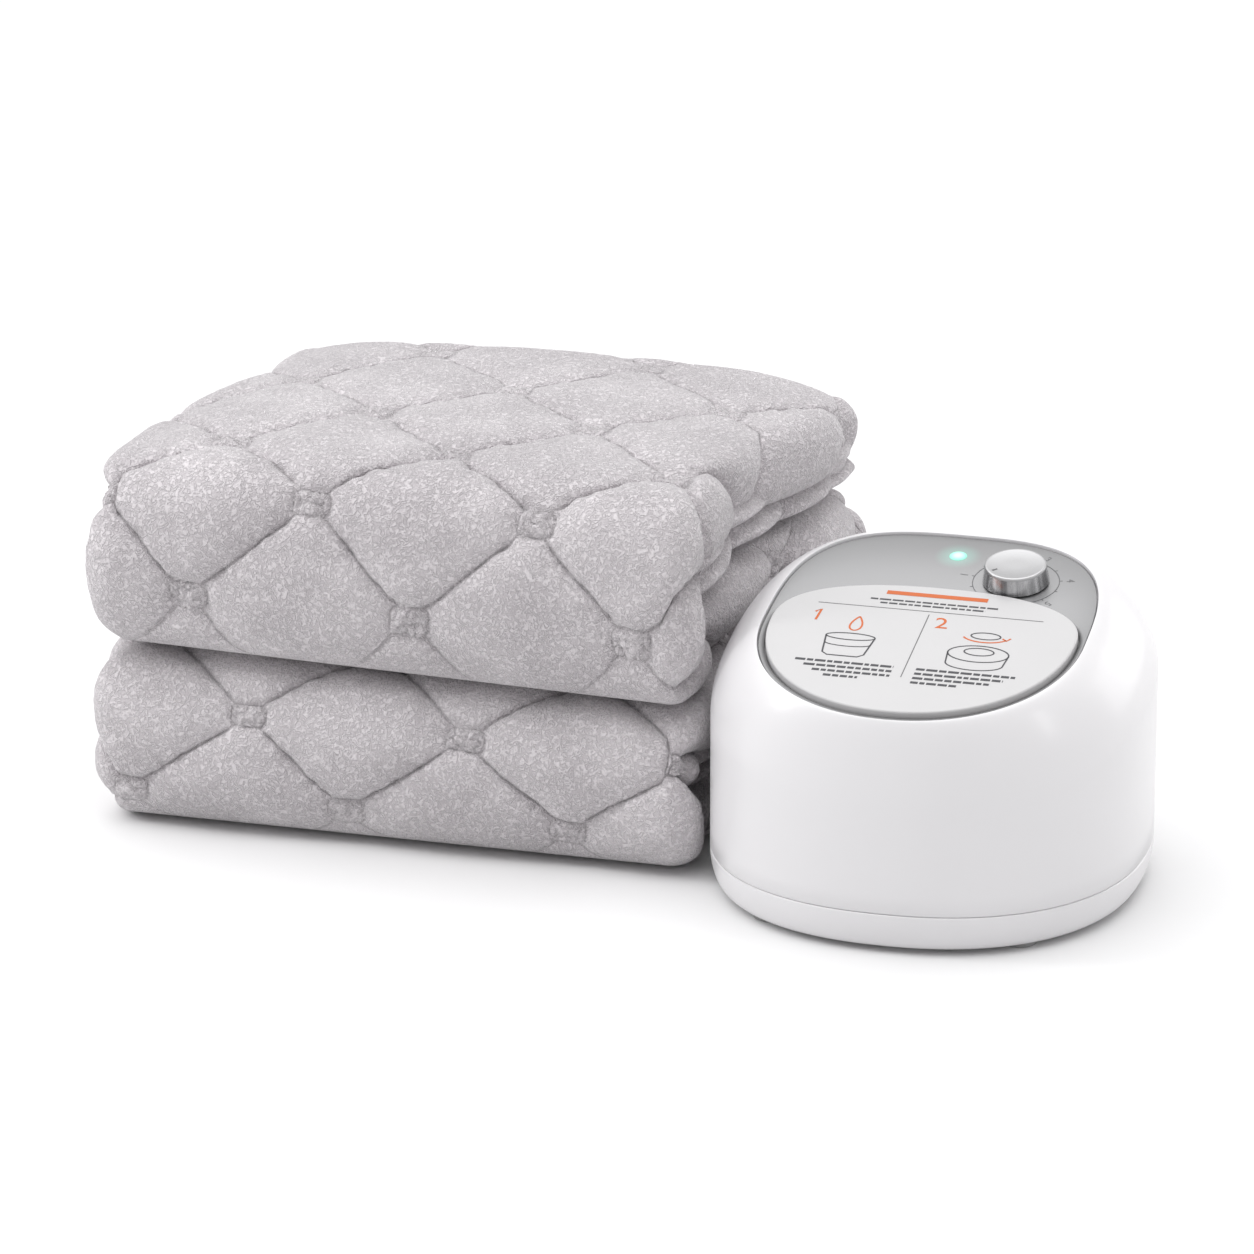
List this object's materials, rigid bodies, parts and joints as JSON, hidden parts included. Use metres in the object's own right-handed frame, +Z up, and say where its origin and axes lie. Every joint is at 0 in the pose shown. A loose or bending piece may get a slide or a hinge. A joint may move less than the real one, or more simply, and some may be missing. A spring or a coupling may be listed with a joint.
{
  "type": "water heated mattress pad",
  "caption": "Folded quilted plush mattress pad warmed by circulating water, with its round white heater and pump unit with sloping panel, tank lid and temperature knob.",
  "frame": {"origin": "on the ground, under the centre of the box round the folded pad and the unit", "axes": "+X to the right, from the pad to the unit; +Y away from the user, from the low front of the unit's panel to the ports at its back; +Z up"},
  "size_m": [0.57, 0.378, 0.212],
  "materials": {
    "plush": "short crinkled plush, quilted in diamonds, light warm grey",
    "white_plastic": "glossy white moulding",
    "silver_paint": "satin silver paint on plastic",
    "lid_white": "smooth white moulding",
    "brushed_metal": "turned and brushed aluminium",
    "lamp_green": "translucent mint green lens",
    "tank_plastic": "milky tank plastic",
    "dark_plastic": "black moulded plastic",
    "grey_plastic": "grey moulded plastic",
    "silicone": "translucent white silicone",
    "soft_rubber": "black rubber",
    "float_foam": "orange closed foam",
    "cast_aluminium": "cast aluminium",
    "steel": "plated steel",
    "board_green": "green circuit board",
    "wire_black": "black insulated wire"
  },
  "bodies": {
    "root": {"lower_outer_fold": "plush", "lower_inner_fold": "plush", "rear_fold": "plush", "housing_shell": "white_plastic", "base_tray": "white_plastic", "control_bezel": "silver_paint", "status_led": "lid_white", "lamp_lens": "lamp_green", "water_tank": "tank_plastic", "thermal_cutout": "dark_plastic", "outlet_port": "dark_plastic", "return_port": "dark_plastic", "power_inlet": "dark_plastic", "power_converter": "dark_plastic", "heater_relay": "dark_plastic", "filter_capacitor": "dark_plastic", "pad_coupling": "grey_plastic", "float_stem": "grey_plastic", "pump_cover": "grey_plastic", "pump_housing": "grey_plastic", "lower_water_tube": "silicone", "suction_hose": "silicone", "delivery_hose": "silicone", "outlet_hose": "silicone", "return_hose": "silicone", "foot_1": "soft_rubber", "foot_2": "soft_rubber", "foot_3": "soft_rubber", "foot_4": "soft_rubber", "heater_block": "cast_aluminium", "base_screw_1": "steel", "base_screw_2": "steel", "base_screw_3": "steel", "base_screw_4": "steel", "pump_motor": "steel", "heater_cartridge": "steel", "dial_potentiometer": "steel", "main_board": "board_green", "control_board": "board_green", "mains_lead": "wire_black", "motor_lead": "wire_black", "heater_lead": "wire_black", "control_lead": "wire_black"},
    "upper_pad": {"upper_outer_fold": "plush", "upper_inner_fold": "plush", "upper_water_tube": "silicone"},
    "lid": {"tank_lid": "lid_white"},
    "seal": {"cap_seal": "silicone"},
    "cap": {"tank_cap": "grey_plastic"},
    "knob": {"control_knob": "brushed_metal", "dial_shaft": "steel"},
    "rotor": {"impeller": "grey_plastic"},
    "float": {"level_float": "float_foam"}
  },
  "joints": [
    {"name": "pad_unfold", "type": "hinge", "parent": "root", "child": "upper_pad", "pos_m": [0, 0.171, 0.106], "axis": [-1, 0, 0], "range_deg": [0, 178]},
    {"name": "lid_lift", "type": "slide", "parent": "root", "child": "lid", "axis": [0, -0.2164, 0.9763], "range_m": [0, 0.06]},
    {"name": "cap_lift", "type": "slide", "parent": "root", "child": "seal", "axis": [0, -0.2164, 0.9763], "range_m": [0, 0.006]},
    {"name": "cap_turn", "type": "hinge", "parent": "seal", "child": "cap", "pos_m": [0.17, -0.11286, 0.14111], "axis": [0, -0.2164, 0.9763], "range_deg": [0, 540]},
    {"name": "knob_turn", "type": "hinge", "parent": "root", "child": "knob", "pos_m": [0.206, -0.0372, 0.15788], "axis": [0, 0.2164, -0.9763], "range_deg": [0, 270]},
    {"name": "impeller_spin", "type": "hinge", "parent": "root", "child": "rotor", "pos_m": [0.12, -0.02, 0.04], "axis": [0, 1, 0], "continuous": true},
    {"name": "float_rise", "type": "slide", "parent": "root", "child": "float", "axis": [0, 0, 1], "range_m": [0, 0.044]}
  ],
  "couplings": [
    {"joint": "cap_turn", "follows": "cap_lift", "rad_per_m": 1570.8}
  ]
}
